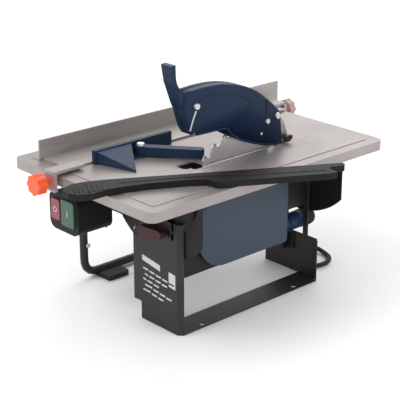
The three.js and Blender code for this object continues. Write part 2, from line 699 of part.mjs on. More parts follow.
const cordRoute = [
  [10, GLAND_END + GAP, 22], [10, 206, 22], [12, 219, 20.2], [19, 231, 15.7], [30, 239, 10.2],
  [44, 243, 6], [58, 241, 4.3], [71, 235, 4.3], [81, 224, 4.3], [86, 210, 4.3], [85, 195, 4.3],
  [78, 182, 4.3], [66, 173, 4.3], [51, 169, 4.3], [35, 169, 4.3], [18, 173, 4.3], [0, 181, 4.3],
  [-20, 193, 4.3], [-42, 208, 4.3], [-64, 224, 4.3], [-86, 239, 4.3], [-107, 252, 4.3],
  [-130, COIL_CENTRE[1] + COIL_OUTER, 4.3],
];

function cordTube() {
  const points = cordRoute.map((p) => new THREE.Vector3(...p));
  return tube(new THREE.CatmullRomCurve3(points, false, "centripetal"), CORD_RADIUS, 40, 8);
}

function ringProfile(inner, outer, low, high) {
  const points = [[inner, low], [outer, low], [outer, high], [inner, high], [inner, low]];
  return points.map(([r, z]) => new THREE.Vector2(r, z));
}

// The coil's outer shape: one layer wound inwards and one wound outwards on top of it, with room
// cut for the lead to join at the back and for the plug's sleeve to leave at the left.
function cordCoil() {
  const [x, y] = COIL_CENTRE;
  const profile = ringProfile(COIL_INNER - CORD_RADIUS, COIL_OUTER + CORD_RADIUS, 0, 4 * CORD_RADIUS);
  const geometry = new THREE.LatheGeometry(profile, 40).rotateX(Math.PI / 2);
  const whole = solid(geometry.translate(x, y, GAP));
  const joinsHere = box(x + 18.7, x + 60, y + 20, y + 60, -2, 40);
  const leavesHere = box(x - 60, x - 40, y - 60, y - 25, -2, 40);
  return cut(whole, joinsHere, leavesHere);
}

function mainsPlug() {
  const x = COIL_CENTRE[0] - COIL_LAST;
  const y = COIL_CENTRE[1] - 25 - GAP;
  const z = 3 * CORD_RADIUS + GAP;
  const sleeve = rod("y", 5, y - 24, y, [x, z], 16, 5);
  const grip = rod("y", 12, y - 58, y - 22, [x, z], 24, 8);
  const pins = [-9.5, 9.5].map((dx) => rod("y", 2.4, y - 77, y - 57, [x + dx, z], 12));
  return join(sleeve, grip, ...pins);
}

// Assembly

const parts = [
  ["table_top", tableTop(), tableGrey],
  ["table_insert", tableInsert(), tableGrey],
  ["front_quadrant", quadrant(-146.5, -144.5, FRONT_SLOT, -103, -17, -144.6, -128), frameBlack],
  ["rear_quadrant", quadrant(158.3, 160.3, REAR_SLOT, -76, -19, 160.2, 176), frameBlack],
  ["front_leg_panel", frontLegPanel(), frameBlack],
  ["rear_leg_panel", rearLegPanel(), frameBlack],
  ["base_rail", baseRail(), frameBlack],
  ["front_brace", frontBrace(), frameBlack],
  ["motor_plate", motorPlate(), frameBlack],
  ["side_plate", sidePlate(), frameBlack],
  ["blade_housing", bladeHousing(), frameBlack],
  ["side_cover", sideCover(), coverBlue],
  ["dust_port", dustPort(), coverBlue],
  ["dust_adapter", dustAdapter(), rubberBlack],
  ["motor_housing", motorHousing(), frameBlack],
  ["motor_end_shield", endShield(), aluminium],
  ["motor_fan_cover", fanCover(), plasticBlack],
  ["motor_fan", fan(), plasticBlack],
  ["motor_stator", ring("x", MOTOR_RADIUS - 3 - GAP, 24.8, -40, 15, onArbor, 32), copper],
  ["motor_rotor", ring("x", 24, ARBOR_RADIUS + GAP, -45, 20, onArbor, 32), brightSteel],
  ["bearing_front", bearing(32, 41.4), brightSteel],
  ["bearing_rear", bearing(-72.6, -64.3), brightSteel],
  ["arbor_shaft", arborShaft(), brightSteel],
  ["inner_flange", flange(57, BLADE_X - BLADE_THICK / 2 - GAP), brightSteel],
  ["outer_flange", flange(BLADE_X + BLADE_THICK / 2 + GAP, 72.6), brightSteel],
  ["arbor_nut", arborNut(), brightSteel],
  ["saw_blade", sawBlade(), brightSteel],
  ["riving_knife", rivingKnife(), brightSteel],
  ["knife_bracket", knifeBracket(), frameBlack],
  ["knife_bolt_upper", knifeBolt(TOP - 56), brightSteel],
  ["knife_bolt_lower", knifeBolt(TOP - 70), brightSteel],
  ["guard_right", guardRight(), guardBlue],
  ["guard_left", guardLeft(), guardBlue],
  ["guard_horn", guardHorn(), guardBlue],
  ["guard_pivot_bolt", guardBolt(GUARD_PIVOT, 3, 6), brightSteel],
  ["guard_rear_bolt", guardBolt(GUARD_BOLT, 2.5, 5), brightSteel],
  ["guard_front_bolt", guardBolt(GUARD_FRONT_BOLT, 2.5, 6), brightSteel],
  ["fence_rail", fenceRail(), aluminium],
  ["fence_front_clamp", fenceFrontClamp(), plasticBlack],
  ["fence_rear_clamp", fenceRearClamp(), plasticBlack],
  ["fence_front_knob", flutedKnob(-54, FENCE_KNOB_Z, -250 - GAP, -276, -292, 15.5, 4), knobOrange],
  ["fence_rear_knob", flutedKnob(-86, FENCE_KNOB_Z, 250 + GAP, 278, 292, 15.5, 4), knobOrange],
  ["front_tilt_lever", clampLever(), stopRed],
  ["rear_tilt_knob", flutedKnob(...REAR_KNOB, 154.2, 165, 179, 15, STUD, 6), plasticBlack],
  ["front_guide_bolt", frontGuideBolt(), brightSteel],
  ["gauge_head", gaugeHead(), guardBlue],
  ["gauge_bar", gaugeBar(), guardBlue],
  ["gauge_screw", gaugeScrew(), brightSteel],
  ["push_stick", pushStick(), plasticBlack],
  ["switch_box", switchBox(), plasticBlack],
  ["switch_bracket", switchBracket(), frameBlack],
  ["stop_button", button(RED), stopRed],
  ["start_button", button(GREEN), startGreen],
  ["left_leg", leftLeg(), frameBlack],
  ["front_foot_pad", footPad(-86), rubberBlack],
  ["rear_foot_pad", footPad(86), rubberBlack],
  ["cord_gland", cordGland(), rubberBlack],
];
for (const [name, body, material] of parts) add(name, body, material);

const cord = [
  ["mains_cord", cordTube(), rubberBlack],
  ["cord_coil", cordCoil(), rubberBlack],
  ["mains_plug", mainsPlug(), rubberBlack],
];
const cordMeshes = cord.map(([name, body, material]) => add(name, body, material));

// The origin is the middle of the footprint, measured without the free cord.
const footprint = new THREE.Box3();
for (const mesh of root.children) {
  if (!cordMeshes.includes(mesh)) footprint.expandByObject(mesh, true);
}
const centre = footprint.getCenter(new THREE.Vector3());
root.children.forEach((mesh) => mesh.position.set(-centre.x, -centre.y, -footprint.min.z));

export default root;
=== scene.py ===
import math

import bmesh
import bpy
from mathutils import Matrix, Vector


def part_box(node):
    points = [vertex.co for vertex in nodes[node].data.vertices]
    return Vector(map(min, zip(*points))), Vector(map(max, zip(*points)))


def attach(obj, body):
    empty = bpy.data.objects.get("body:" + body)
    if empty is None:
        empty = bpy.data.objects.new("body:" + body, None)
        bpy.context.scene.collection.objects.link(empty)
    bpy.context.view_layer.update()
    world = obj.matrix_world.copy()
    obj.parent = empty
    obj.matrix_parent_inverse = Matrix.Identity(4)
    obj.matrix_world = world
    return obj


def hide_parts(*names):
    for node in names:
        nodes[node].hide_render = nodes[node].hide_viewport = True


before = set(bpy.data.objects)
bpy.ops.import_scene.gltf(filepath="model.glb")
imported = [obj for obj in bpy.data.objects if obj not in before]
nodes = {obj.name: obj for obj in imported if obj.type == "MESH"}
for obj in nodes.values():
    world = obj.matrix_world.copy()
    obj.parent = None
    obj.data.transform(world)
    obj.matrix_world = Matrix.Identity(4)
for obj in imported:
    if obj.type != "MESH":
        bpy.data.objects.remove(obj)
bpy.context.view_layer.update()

scene = bpy.context.scene

# Places below are written in millimetres from the middle of the table's surface, x to the
# operator's right, y the way the work is fed, z up, and turned into the frame's metres by at().
table_low, table_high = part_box("table_top")
TABLE_MIDDLE = Vector(((table_low.x + table_high.x) / 2, (table_low.y + table_high.y) / 2, table_high.z))
GROUND = -240.0
MM = 0.001
WELD_REACH = 0.02 * MM
BLADE_X = 66.0
ARBOR = (13.0, -55.0)  # y and z of the blade's axis
BLADE_RADIUS = 100.0
BLADE_TEETH = 24
GUARD_HALF = 15.0
GUARD_FACE = BLADE_X + GUARD_HALF
PANEL_FACE = -156.0  # y of the front leg panel's outer face
BUTTON_FACE = -219.0  # y of the pressed faces
COVER_FACE = 92.3  # x of the side cover's outer face
FAN_COVER_END = -101.0
STICK_TOP = 10.3


def at(x, y, z):
    return TABLE_MIDDLE + Vector((x, y, z)) * MM


# Camera, at the photograph's viewing angle

CAMERA_AZIMUTH = math.radians(47.54)
CAMERA_ELEVATION = math.radians(20.60)
CAMERA_DISTANCE = 1.9231
CAMERA_AIM = (-0.00437, -0.08396)  # to the right of and above the table's middle, across the view


def make_camera():
    a, e = CAMERA_AZIMUTH, CAMERA_ELEVATION
    back = Vector((math.sin(a) * math.cos(e), -math.cos(a) * math.cos(e), math.sin(e)))
    right = Vector((math.cos(a), math.sin(a), 0.0))
    up = back.cross(right)
    camera = bpy.data.objects.new("camera", bpy.data.cameras.new("camera"))
    scene.collection.objects.link(camera)
    camera.data.lens = 108.0
    camera.data.sensor_width = 36.0
    camera.data.clip_start = 0.05
    camera.data.clip_end = 50.0
    target = TABLE_MIDDLE + right * CAMERA_AIM[0] + up * CAMERA_AIM[1]
    camera.location = target + back * CAMERA_DISTANCE
    camera.rotation_mode = "QUATERNION"
    camera.rotation_quaternion = (-back).to_track_quat("-Z", "Y")
    scene.camera = camera


# Meshes


def new_object(name, data, body):
    piece = bpy.data.objects.new(name, data)
    scene.collection.objects.link(piece)
    if body:
        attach(piece, body)
    return piece


def from_bmesh(name, bm, body, smooth=30):
    bmesh.ops.recalc_face_normals(bm, faces=bm.faces)
    mesh = bpy.data.meshes.new(name)
    bm.to_mesh(mesh)
    bm.free()
    for face in mesh.polygons:
        face.use_smooth = True
    mesh.set_sharp_from_angle(angle=math.radians(smooth))
    return new_object(name, mesh, body)


def bevel(piece, width, segments=2, angle=30):
    mod = piece.modifiers.new("edges", "BEVEL")
    mod.width = width * MM
    mod.segments = segments
    mod.limit_method = "ANGLE"
    mod.angle_limit = math.radians(angle)
    mod.harden_normals = True


def slab(bm, outline, place, thickness):
    """A prism: outline is a loop of (u, v), place(u, v, w) gives the point, w runs to thickness."""
    low = [bm.verts.new(place(u, v, 0.0)) for u, v in outline]
    high = [bm.verts.new(place(u, v, thickness)) for u, v in outline]
    bm.faces.new(low)
    bm.faces.new(high)
    for i in range(len(outline)):
        j = (i + 1) % len(outline)
        bm.faces.new((low[i], low[j], high[j], high[i]))


def plate(name, outline, place, thickness, body, edge=0.3):
    bm = bmesh.new()
    slab(bm, outline, place, thickness)
    piece = from_bmesh(name, bm, body)
    if edge:
        bevel(piece, edge)
    return piece


def rounded(u0, u1, v0, v1, radius, steps=5):
    corners = [(u1 - radius, v0 + radius, -90), (u1 - radius, v1 - radius, 0),
               (u0 + radius, v1 - radius, 90), (u0 + radius, v0 + radius, 180)]
    points = []
    for u, v, start in corners:
        for k in range(steps + 1):
            angle = math.radians(start + 90 * k / steps)
            points.append((u + radius * math.cos(angle), v + radius * math.sin(angle)))
    return points


def smooth_line(points, steps):
    """A Catmull-Rom curve through points, with the spacing of the points taken into account."""
    knots = [Vector(p) for p in points]
    knots = [2 * knots[0] - knots[1]] + knots + [2 * knots[-1] - knots[-2]]
    line = []
    for i in range(1, len(knots) - 2):
        p0, p1, p2, p3 = knots[i - 1:i + 3]
        t1 = (p1 - p0).length ** 0.5
        t2 = t1 + (p2 - p1).length ** 0.5
        t3 = t2 + (p3 - p2).length ** 0.5
        for k in range(steps):
            t = t1 + (t2 - t1) * k / steps
            a1 = p0.lerp(p1, t / t1)
            a2 = p1.lerp(p2, (t - t1) / (t2 - t1))
            a3 = p2.lerp(p3, (t - t2) / (t3 - t2))
            b1 = a1.lerp(a2, t / t2)
            b2 = a2.lerp(a3, (t - t1) / (t3 - t1))
            line.append(b1.lerp(b2, (t - t1) / (t2 - t1)))
    line.append(knots[-2])
    return line


def curve_tube(name, points, radius, body):
    curve = bpy.data.curves.new(name, "CURVE")
    curve.dimensions = "3D"
    curve.bevel_depth = 1.0
    curve.bevel_resolution = 4
    curve.use_fill_caps = True
    spline = curve.splines.new("POLY")
    spline.points.add(len(points) - 1)
    for knot, point in zip(spline.points, points):
        knot.co = (*point, 1.0)
        knot.radius = radius * MM
    return new_object(name, curve, body)


def turned(name, profile, centre, axis, body, segments=32, smooth=30):
    """A closed turned piece: profile is (distance along the axis, radius) in millimetres."""
    bm = bmesh.new()
    axis = Vector(axis).normalized()
    side = axis.orthogonal().normalized()
    other = axis.cross(side)
    rings = []
    for along, radius in profile:
        ring = []
        for i in range(segments):
            angle = 2 * math.pi * i / segments
            offset = side * math.cos(angle) + other * math.sin(angle)
            ring.append(bm.verts.new(centre + axis * along * MM + offset * radius * MM))
        rings.append(ring)
    for low, high in zip(rings, rings[1:]):
        for i in range(segments):
            j = (i + 1) % segments
            bm.faces.new((low[i], low[j], high[j], high[i]))
    bm.faces.new(rings[0])
    bm.faces.new(rings[-1])
    return from_bmesh(name, bm, body, smooth)


# Materials


class Nodes:
    """Short calls for one material's node tree."""

    def __init__(self, name):
        self.material = bpy.data.materials.new(name)
        self.material.use_nodes = True
        self.tree = self.material.node_tree
        self.shader = self.tree.nodes["Principled BSDF"]
        self.place = self.make("ShaderNodeTexCoord").outputs["Object"]

    def make(self, kind, **values):
        node = self.tree.nodes.new(kind)
        for key, value in values.items():
            setattr(node, key, value)
        return node

    def link(self, output, target):
        self.tree.links.new(output, target)

    def noise(self, scale, detail=3.0, stretch=(1.0, 1.0, 1.0)):
        mapping = self.make("ShaderNodeMapping")
        mapping.inputs["Scale"].default_value = stretch
        self.link(self.place, mapping.inputs["Vector"])
        node = self.make("ShaderNodeTexNoise")
        node.inputs["Scale"].default_value = scale
        node.inputs["Detail"].default_value = detail
        node.inputs["Roughness"].default_value = 0.5
        self.link(mapping.outputs["Vector"], node.inputs["Vector"])
        return node.outputs["Fac"]

    def spread(self, value, low, high, start=0.3, end=0.7):
        node = self.make("ShaderNodeMapRange")
        node.inputs["From Min"].default_value = start
        node.inputs["From Max"].default_value = end
        node.inputs["To Min"].default_value = low
        node.inputs["To Max"].default_value = high
        self.link(value, node.inputs["Value"])
        return node.outputs["Result"]

    def blend(self, factor, first, second):
        node = self.make("ShaderNodeMix", data_type="RGBA")
        self.link(factor, node.inputs["Factor"])
        colours = [s for s in node.inputs if s.type == "RGBA"]
        for socket, value in zip(colours, (first, second)):
            if isinstance(value, tuple):
                socket.default_value = (*value, 1.0)
            else:
                self.link(value, socket)
        return [s for s in node.outputs if s.type == "RGBA"][0]

    def bump(self, height, strength, distance):
        node = self.make("ShaderNodeBump")
        node.inputs["Strength"].default_value = strength
        node.inputs["Distance"].default_value = distance
        self.link(height, node.inputs["Height"])
        self.link(node.outputs["Normal"], self.shader.inputs["Normal"])


def linear(red, green, blue):
    """Screen colour, 0 to 255, as the shader's linear colour."""
    def one(value):
        v = value / 255.0
        return v / 12.92 if v <= 0.04045 else ((v + 0.055) / 1.055) ** 2.4
    return (one(red), one(green), one(blue))


def coat(name, colour, rough=0.45, metal=0.0, vary=0.12, grain=400.0, bump=0.1, dirt=8.0, shine=None,
         gloss=0.5):
    """Moulded plastic or paint: slow tone changes, fine grain in the roughness and a light texture."""
    n = Nodes(name)
    tone = n.noise(dirt, 3.0)
    darker = tuple(c * (1 - vary) for c in colour)
    lighter = tuple(min(1.0, c * (1 + vary) + 0.002) for c in colour)
    n.link(n.blend(n.spread(tone, 0.0, 1.0), darker, lighter), n.shader.inputs["Base Color"])
    fine = n.noise(grain, 2.0)
    n.link(n.spread(fine, rough * 0.85, min(1.0, rough * 1.2)), n.shader.inputs["Roughness"])
    n.shader.inputs["Metallic"].default_value = metal
    n.shader.inputs["Specular IOR Level"].default_value = gloss
    if shine is not None:
        n.shader.inputs["Coat Weight"].default_value = shine
        n.shader.inputs["Coat Roughness"].default_value = 0.25
    n.bump(fine, bump, 0.0002)
    return n.material


def brushed(name, colour, rough=0.35, stretch=(1.0, 40.0, 1.0), scale=60.0, metal=1.0, vary=0.1, bump=0.06):
    """Metal with fine lines left by rolling or brushing, and faint cloudy stains."""
    n = Nodes(name)
    lines = n.noise(scale, 4.0, stretch)
    stains = n.noise(6.0, 4.0)
    darker = tuple(c * (1 - vary) for c in colour)
    lighter = tuple(min(1.0, c * (1 + vary)) for c in colour)
    n.link(n.blend(n.spread(stains, 0.0, 1.0), darker, lighter), n.shader.inputs["Base Color"])
    n.link(n.spread(lines, rough * 0.8, min(1.0, rough * 1.3)), n.shader.inputs["Roughness"])
    n.shader.inputs["Metallic"].default_value = metal
    n.bump(lines, bump, 0.0002)
    return n.material


def radial_steel(name, colour, centre):
    """Ground saw-blade steel: fine rings round the arbor and a stain or two."""
    n = Nodes(name)
    offset = n.make("ShaderNodeVectorMath", operation="SUBTRACT")
    n.link(n.place, offset.inputs[0])
    offset.inputs[1].default_value = centre
    length = n.make("ShaderNodeVectorMath", operation="LENGTH")
    n.link(offset.outputs["Vector"], length.inputs[0])
    wave = n.make("ShaderNodeTexNoise", noise_dimensions="1D")
    wave.inputs["Scale"].default_value = 900.0
    n.link(length.outputs["Value"], wave.inputs["W"])
    n.link(n.spread(wave.outputs["Fac"], 0.2, 0.4), n.shader.inputs["Roughness"])
    stains = n.noise(14.0, 4.0)
    darker = tuple(c * 0.88 for c in colour)
    n.link(n.blend(n.spread(stains, 0.0, 1.0), darker, colour), n.shader.inputs["Base Color"])
    n.shader.inputs["Metallic"].default_value = 1.0
    n.bump(wave.outputs["Fac"], 0.05, 0.0002)
    return n.material


def make_materials():
    blade_middle = tuple(at(BLADE_X, *ARBOR))
    return {
        "table": brushed("table_steel", linear(160, 153, 151), 0.42, (30.0, 1.0, 1.0), 30.0, 0.55),
        "frame": coat("frame_paint", linear(40, 37, 35), 0.48, 0.0, 0.2, 700.0, 0.25, gloss=0.35),
        # inner: the frame's black paint made darker still, as painted shade on the parts under the table;
        # the guard's dark rear seam takes it too
        "inner": coat("under_table_shade_and_seam_paint", linear(17, 16, 16), 0.5, 0.0, 0.2, 700.0, 0.25, gloss=0.3),
        "guard": coat("guard_plastic", linear(5, 33, 62), 0.42, 0.0, 0.14, 900.0, 0.03, gloss=0.25),
        "cover": coat("cover_paint", linear(44, 58, 75), 0.5, 0.0, 0.08, 600.0, 0.06),
        "port": coat("port_plastic", linear(14, 38, 70), 0.45, 0.0, 0.14, 600.0, 0.08, gloss=0.3),
        "gauge": coat("gauge_plastic", linear(22, 42, 68), 0.45, 0.0, 0.15, 500.0, 0.08, gloss=0.25),
        "black": coat("black_plastic", linear(15, 14, 14), 0.55, 0.0, 0.2, 350.0, 0.2, gloss=0.3),
        "stick": coat("stick_plastic", linear(17, 15, 13), 0.55, 0.0, 0.25, 300.0, 0.15, gloss=0.25),
        "rubber": coat("rubber", linear(22, 21, 21), 0.75, 0.0, 0.2, 600.0, 0.3),
        "steel": brushed("bright_steel", linear(205, 205, 205), 0.3, (1.0, 1.0, 30.0), 80.0),
        "dark_steel": brushed("blackened_steel", linear(70, 68, 66), 0.4, (1.0, 1.0, 30.0), 80.0),
        "knife": brushed("knife_steel", linear(190, 190, 190), 0.3, (1.0, 1.0, 20.0), 60.0),
        "fence": brushed("fence_aluminium", linear(168, 162, 159), 0.42, (1.0, 0.03, 1.0), 240.0, 0.6),
        "blade": radial_steel("blade_steel", linear(215, 215, 216), blade_middle),
        "carbide": coat("carbide", linear(120, 120, 124), 0.35, 0.9, 0.1, 900.0, 0.2),
        "orange": coat("orange_plastic", linear(240, 88, 26), 0.4, 0.0, 0.1, 500.0, 0.08, shine=0.2),
        "red": coat("red_plastic", linear(136, 50, 66), 0.36, 0.0, 0.1, 500.0, 0.08, shine=0.2),
        # shade_darkened_red: the knobs' red plastic, darkened as painted shade for the tilt lever under the
        # table's front edge
        "shade_darkened_red": coat("red_plastic_darkened_for_shade", linear(56, 14, 18), 0.45, 0.0, 0.15, 500.0, 0.1, gloss=0.3),
        "pink": coat("pink_sleeve", linear(176, 104, 108), 0.45, 0.0, 0.12, 500.0, 0.1),
        "green": coat("green_plastic", linear(32, 82, 57), 0.36, 0.0, 0.1, 500.0, 0.08, shine=0.2),
        "winding": coat("copper_wire", linear(168, 96, 46), 0.4, 0.8, 0.2, 300.0, 0.3),
        "print": coat("white_print", linear(206, 204, 202), 0.6, 0.0, 0.06, 800.0, 0.05),
        "pale": coat("pale_plastic", linear(176, 146, 142), 0.5, 0.0, 0.08, 600.0, 0.05),
    }


NODE_MATERIALS = {
    "table": "table_top table_insert",
    "frame": "front_leg_panel rear_leg_panel base_rail front_brace left_leg switch_bracket",
    # the parts under the table take the inner paint, a darker copy of the frame paint that stands for the
    # shade there
    "inner": "front_quadrant rear_quadrant motor_plate side_plate blade_housing motor_housing"
             " knife_bracket",
    "cover": "side_cover",
    "port": "dust_port",
    "guard": "guard_right guard_left guard_horn",
    "gauge": "gauge_head gauge_bar",
    "black": "motor_fan_cover motor_fan switch_box rear_tilt_knob",
    "stick": "push_stick",
    "rubber": "dust_adapter front_foot_pad rear_foot_pad cord_gland mains_plug cord_coil mains_cord",
    "steel": "motor_rotor bearing_front bearing_rear arbor_shaft inner_flange outer_flange arbor_nut"
             " knife_bolt_upper knife_bolt_lower guard_pivot_bolt guard_rear_bolt guard_front_bolt"
             " gauge_screw",
    "dark_steel": "front_guide_bolt",
    "knife": "riving_knife",
    "blade": "saw_blade",
    "fence": "fence_rail fence_front_clamp fence_rear_clamp motor_end_shield",
    "orange": "fence_front_knob",
    "pale": "fence_rear_knob",
    # the tilt lever's red is darkened as painted shade
    "shade_darkened_red": "front_tilt_lever",
    "red": "stop_button",
    "green": "start_button",
    "winding": "motor_stator",
}


def paint(piece, material):
    piece.data.materials.clear()
    piece.data.materials.append(material)


def dress_nodes(materials):
    """Gives each CAD node its material and softens its edges with a bevel."""
    for key, names in NODE_MATERIALS.items():
        for name in names.split():
            node = nodes[name]
            paint(node, materials[key])
            weld = node.modifiers.new("weld", "WELD")
            weld.merge_threshold = WELD_REACH
            width = 0.25 if name in ("saw_blade", "riving_knife") else 0.6
            bevel(node, width, 2, 35)
            node.modifiers.new("shading", "WEIGHTED_NORMAL").keep_sharp = True


# Mains lead. The route repeats the solid's; the coil is wound by a loop.

CORD_RADIUS = 4.0
COIL_CENTRE = (-150.0, 204.0)
COIL_OUTER = 54.0
COIL_INNER = 32.0
COIL_LAST = 52.0
COIL_TURNS = 5.25
COIL_CLIMB = 0.25  # turns taken to climb onto the second layer
CORD_GROUND = 4.3  # height of the lead's middle on the ground
CORD_ROUTE = [
    (10, 191.3, 22), (10, 206, 22), (12, 219, 20.2), (19, 231, 15.7), (30, 239, 10.2), (44, 243, 6),
    (58, 241, 4.3), (71, 235, 4.3), (81, 224, 4.3), (86, 210, 4.3), (85, 195, 4.3), (78, 182, 4.3),
    (66, 173, 4.3), (51, 169, 4.3), (35, 169, 4.3), (18, 173, 4.3), (0, 181, 4.3), (-20, 193, 4.3),
    (-42, 208, 4.3), (-64, 224, 4.3), (-86, 239, 4.3), (-107, 252, 4.3), (-130, 258, 4.3),
]


def coil_point(turn):
    pitch = (COIL_OUTER + COIL_LAST - 2 * COIL_INNER) / (COIL_TURNS - COIL_CLIMB)
    inward = (COIL_OUTER - COIL_INNER) / pitch
    climb = min(1.0, max(0.0, (turn - inward) / COIL_CLIMB))
    if turn < inward:
        radius = COIL_OUTER - pitch * turn
    else:
        radius = COIL_INNER + pitch * max(0.0, turn - inward - COIL_CLIMB)
    angle = math.pi / 2 + 2 * math.pi * turn
    height = CORD_GROUND + 2 * CORD_RADIUS * climb * climb * (3 - 2 * climb)
    return (COIL_CENTRE[0] + radius * math.cos(angle), COIL_CENTRE[1] + radius * math.sin(angle), height)


def make_cord(materials):
    line = [tuple(p) for p in smooth_line(CORD_ROUTE, 4)]
    steps = 168
    line += [coil_point(COIL_TURNS * i / steps) for i in range(steps + 1)]
    line.append((COIL_CENTRE[0] - COIL_LAST, COIL_CENTRE[1] - 24.5, CORD_GROUND + 2 * CORD_RADIUS))
    points = [at(x, y, z + GROUND) for x, y, z in line]
    lead = curve_tube("mains_lead", points, CORD_RADIUS, "chassis")
    paint(lead, materials["rubber"])
    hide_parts("mains_cord", "cord_coil")


# Guard: two moulded halves with rounded shoulders

GUARD_DOME = [(98, 56), (84, 70), (66, 85), (44, 101), (20, 113), (-8, 122), (-34, 127), (-60, 128.5),
              (-84, 128), (-103, 125), (-110, 113), (-111, 101), (-106, 84), (-100, 68), (-94, 59)]
RIGHT_FOOT = [(-86, 57), (-45, 56), (-22, 53), (-17, 43), (6, 29), (34, 18), (62, 9), (98, 5)]
LEFT_FOOT = [(-86, 57), (-45, 56), (-22, 53), (-17, 43), (6, 30), (34, 22), (62, 20.5), (98, 20.5)]


def inset(loop, distance):
    """The loop of (y, z) points moved inwards; the loop runs anticlockwise."""
    moved = []
    for i, point in enumerate(loop):
        before = Vector(loop[i - 1])
        after = Vector(loop[(i + 1) % len(loop)])
        here = Vector(point)
        into = (here - before).normalized()
        out = (after - here).normalized()
        normal = Vector((-into.y - out.y, into.x + out.x)).normalized()
        stretch = max(0.6, normal.dot(Vector((-out.y, out.x))))
        moved.append(tuple(here + normal * distance / stretch))
    return moved


def guard_half(name, node, foot, side, materials):
    dome = [tuple(p) for p in smooth_line(GUARD_DOME, 3)]
    loop = dome + foot
    count = len(dome)
    # Sections from the parting line outwards: the crown rounds over in its last few millimetres,
    # and the foot keeps its own line.
    shoulder = 5.0
    flat = GUARD_HALF - shoulder
    sections = [(0.15, 0.0), (flat, 0.0)]
    for k in range(1, 6):
        angle = math.radians(90 * k / 5)
        sections.append((flat + shoulder * math.sin(angle), shoulder * (1 - math.cos(angle))))
    bm = bmesh.new()
    rings = []
    for x, inwards in sections:
        crown = inset(loop, inwards)[:count] if inwards else dome
        rings.append([bm.verts.new(at(BLADE_X + side * x, y, z)) for y, z in crown + foot])
    for low, high in zip(rings, rings[1:]):
        for i in range(count - 1):
            bm.faces.new((low[i], low[i + 1], high[i + 1], high[i]))
    bm.faces.new(rings[-1])
    piece = from_bmesh(name, bm, "guard", 40)
    wall = piece.modifiers.new("wall", "SOLIDIFY")
    wall.thickness = 2 * MM
    wall.offset = -1.0
    paint(piece, materials["guard"])
    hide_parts(node)


def make_guard(materials):
    guard_half("guard_shell_right", "guard_right", RIGHT_FOOT, 1, materials)
    guard_half("guard_shell_left", "guard_left", LEFT_FOOT, -1, materials)


# Small parts and marks that ride on the frame


def face_right(x):
    """Places (y, z) outlines on a face that looks to the right, w running outwards."""
    return lambda u, v, w: at(x + w, u, v)


def face_front(y):
    """Places (x, z) outlines on a face that looks to the front."""
    return lambda u, v, w: at(u, y - w, v)


def face_up(z):
    """Places (x, y) outlines on a face that looks up."""
    return lambda u, v, w: at(u, v, z + w)


def strip(points, width):
    """A strip of even width along an open line of (u, v) points, as a closed outline."""
    line = [Vector(p) for p in points]
    left, right = [], []
    for i, point in enumerate(line):
        along = (line[min(i + 1, len(line) - 1)] - line[max(i - 1, 0)]).normalized()
        across = Vector((-along.y, along.x)) * width / 2
        left.append(tuple(point + across))
        right.append(tuple(point - across))
    return left + right[::-1]


def add(name, outline, place, thickness, body, material, edge=0.3):
    piece = plate(name, outline, place, thickness, body, edge)
    paint(piece, material)


def screw_head(name, centre, axis, radius, height, body, material):
    """A pan head with a rounded rim and a shallow drive recess."""
    profile = [(0, radius), (height * 0.45, radius), (height * 0.85, radius * 0.8), (height, radius * 0.5),
               (height, radius * 0.32), (height * 0.5, radius * 0.25)]
    piece = turned(name, profile, centre, axis, body, 24, 40)
    paint(piece, material)


def make_guard_details(m):
    out = face_right(GUARD_FACE)
    rib = [(-80, 110), (-62, 112.5), (-45, 113), (-25, 110.5), (-5, 106), (16, 97), (37, 81)]
    line = [tuple(p) for p in smooth_line(rib, 3)]
    add("guard_cheek_rib", strip(line, 2.6), out, 1.0, "guard", m["guard"], 0.5)
    # Painted highlight: a thin strip of bright steel along the front edge of the guard's face, standing for
    # the light caught by that edge
    edge = [(-88, 96), (-93, 86), (-97, 76), (-100, 67)]
    add("guard_edge_highlight_strip", strip(edge, 3.0), out, 0.6, "guard", m["steel"], 0.2)
    seam = [(62, 84), (61, 60), (62, 34), (64, 12)]
    add("guard_rear_rib", strip(seam, 1.6), out, 0.9, "guard", m["inner"], 0.3)
    skirt = [(-86, 59.5), (-45, 58.5), (-20.5, 55.5), (-15, 45), (7, 31), (34, 20.5), (62, 11.5), (92, 8)]
    add("guard_foot_rib", strip(skirt, 2.4), out, 0.8, "guard", m["guard"], 0.4)
    screw = at(GUARD_FACE, 51, 31)
    screw_head("guard_small_screw", screw, (1, 0, 0), 2.6, 1.6, "guard", m["steel"])
    wing = [(110, 4), (118, 3), (127, 6), (128, 12), (120, 13), (112, 11)]
    # the wing screw uses the red that is darkened as painted shade
    add("knife_wing_screw", wing, face_right(BLADE_X + 5.5), 6.0, "chassis", m["shade_darkened_red"],
        1.2)


def make_blade_tips(m):
    bm = bmesh.new()
    corners = [(0.0, 0.6), (0.0, 6.0), (1.8, 6.0), (2.6, -0.1)]  # along the rim, depth below it
    for i in range(BLADE_TEETH):
        angle = 2 * math.pi * i / BLADE_TEETH
        out = Vector((math.cos(angle), math.sin(angle)))
        turn = Vector((-out.y, out.x))
        outline = [tuple(Vector(ARBOR) + out * (BLADE_RADIUS - depth) + turn * along)
                   for along, depth in corners]
        slab(bm, outline, face_right(BLADE_X - 1.5), 3.0)
    tips = from_bmesh("carbide_tips", bm, "arbor")
    paint(tips, m["carbide"])


